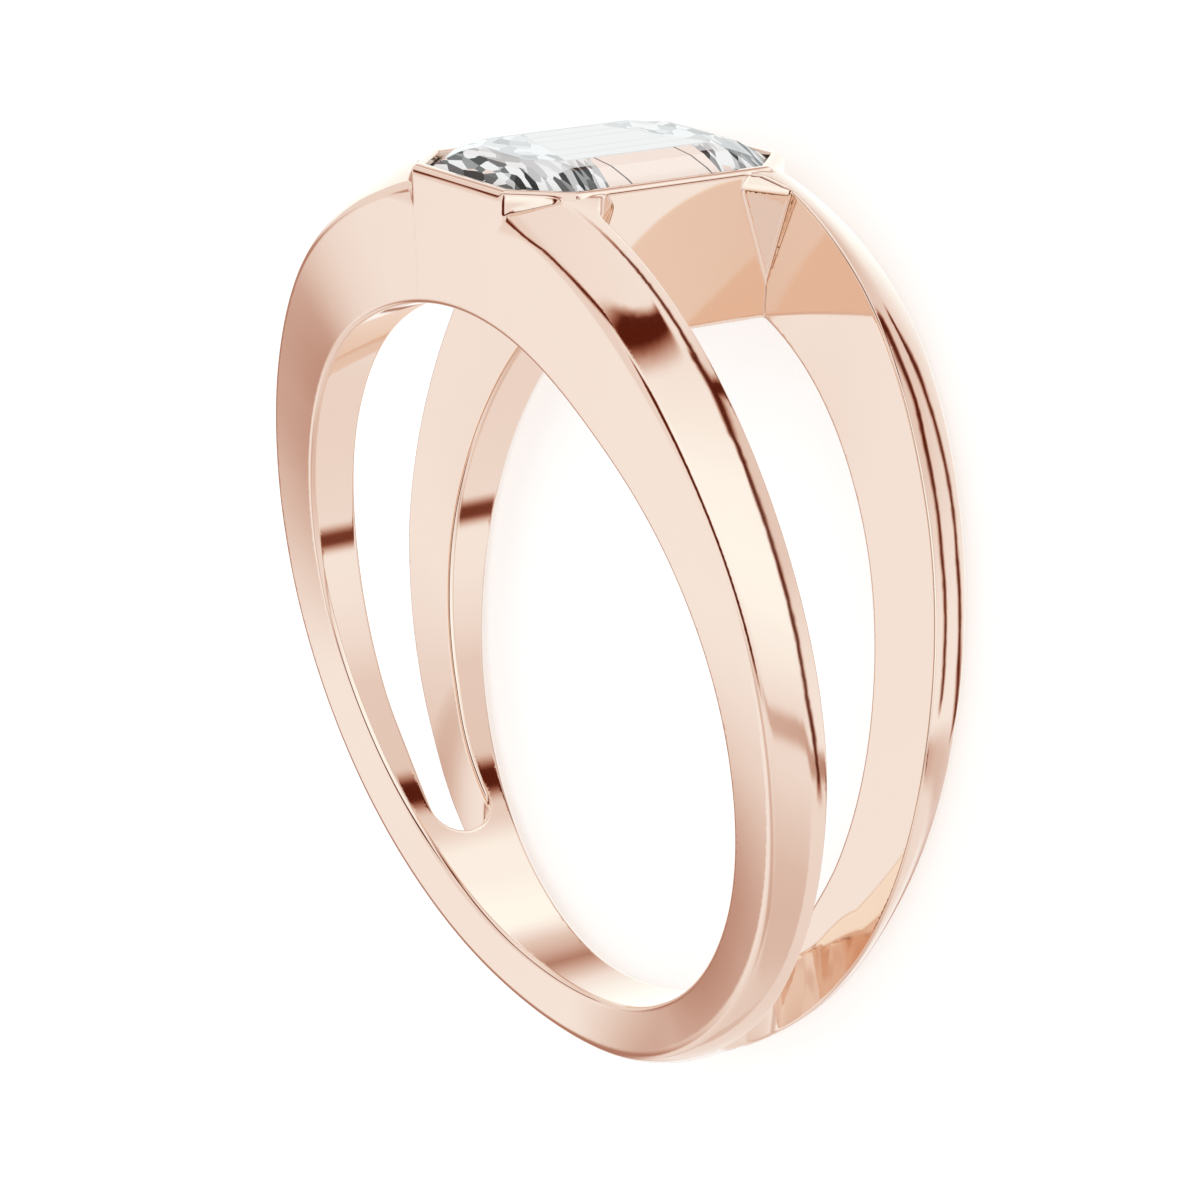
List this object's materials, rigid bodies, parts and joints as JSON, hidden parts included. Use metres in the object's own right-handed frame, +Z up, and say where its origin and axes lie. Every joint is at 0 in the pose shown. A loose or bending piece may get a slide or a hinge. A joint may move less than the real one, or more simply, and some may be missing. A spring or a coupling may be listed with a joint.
{
  "type": "split shank ring",
  "caption": "Finger ring with a split shank and one emerald-cut stone in an octagonal bezel, lying on its side.",
  "frame": {"origin": "centre of the ring's box at floor level, with the ring lying on its side as it rests by itself", "axes": "+Z up, the finger hole's axis leans about 9 degrees from Z towards -Y, and +Y points from the palm side to the stone"},
  "size_m": [0.0206, 0.0214, 0.008],
  "materials": {
    "rose_gold": "polished",
    "clear_stone": "polished facets"
  },
  "bodies": {
    "root": {"ring_mount": "rose_gold", "emerald_cut_stone": "clear_stone"}
  },
  "joints": []
}
